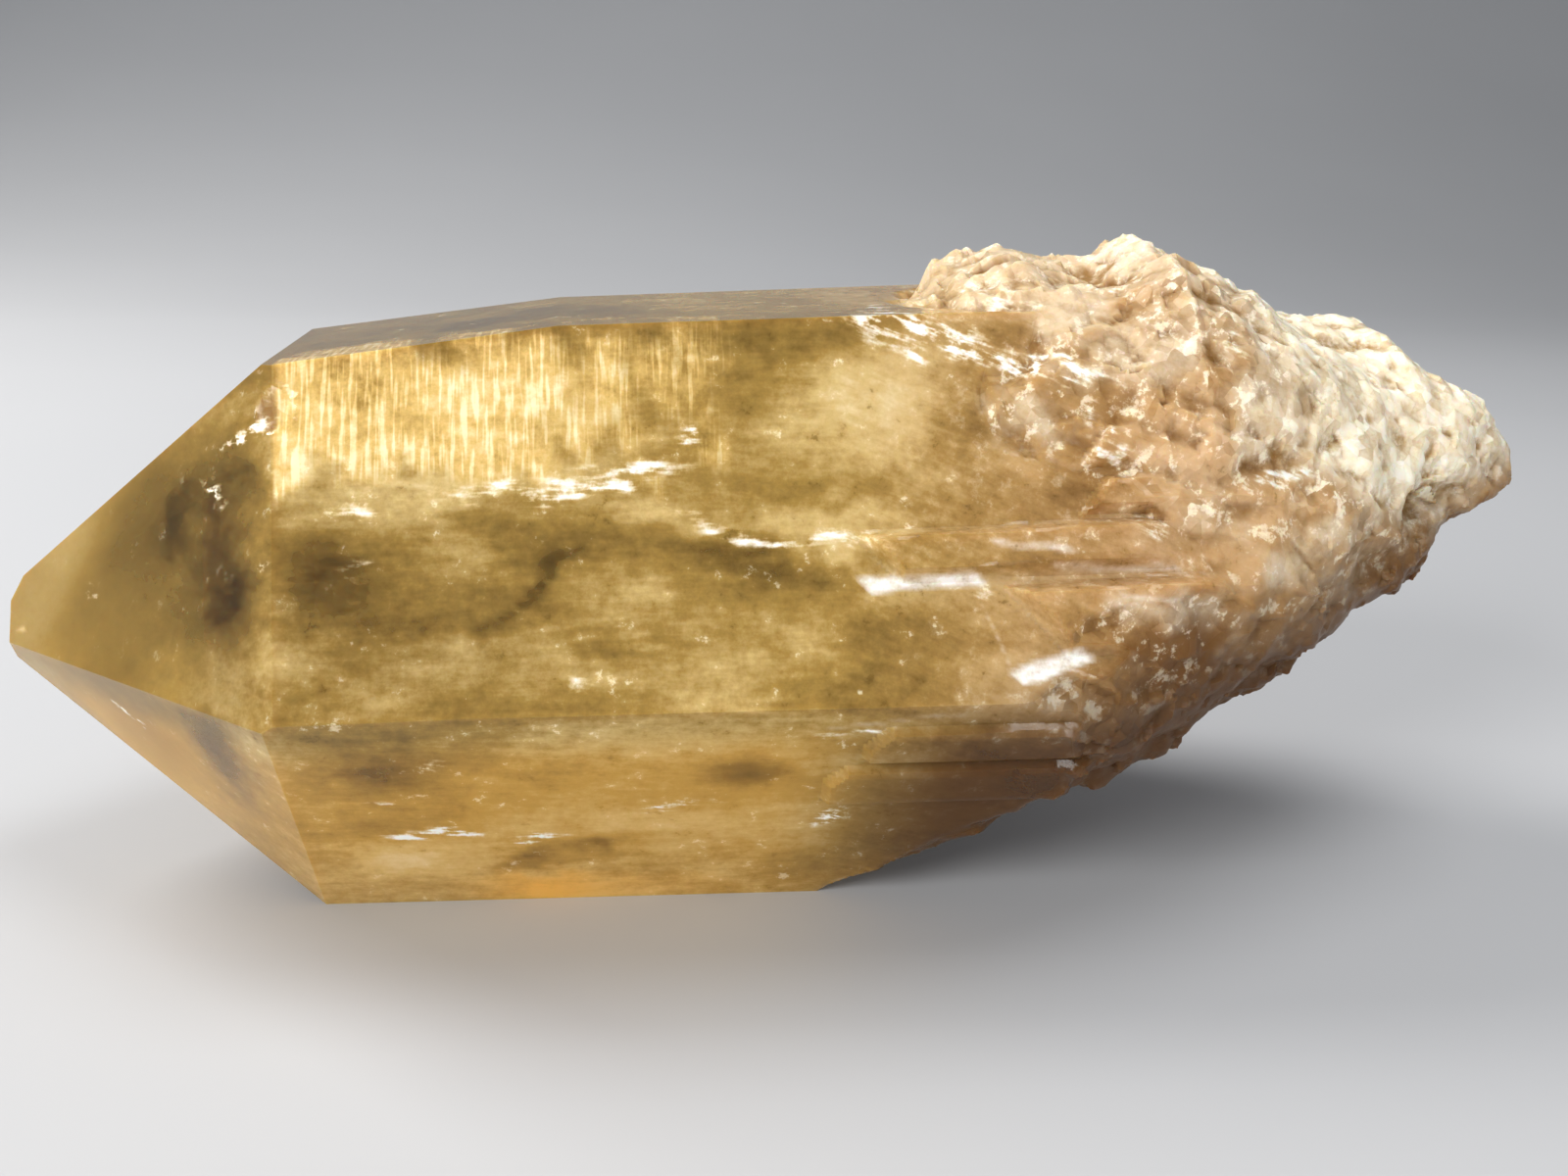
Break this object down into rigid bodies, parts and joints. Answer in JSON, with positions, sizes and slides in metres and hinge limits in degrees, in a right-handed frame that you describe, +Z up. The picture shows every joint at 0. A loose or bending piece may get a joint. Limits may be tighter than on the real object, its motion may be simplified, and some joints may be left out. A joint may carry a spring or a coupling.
{
  "type": "citrine crystal",
  "caption": "Natural six-sided citrine crystal with a pointed end and a rough pale root, lying on one of its long faces.",
  "frame": {"origin": "on the resting surface, under the middle of the crystal's box", "axes": "+X along the crystal from its point to its root, -Y towards the main front face, +Z up"},
  "size_m": [0.1092, 0.043, 0.0453],
  "materials": {
    "citrine": "natural crystal faces, glossy, milky honey inside, rough at the root"
  },
  "bodies": {
    "root": {"crystal": "citrine"}
  },
  "joints": []
}
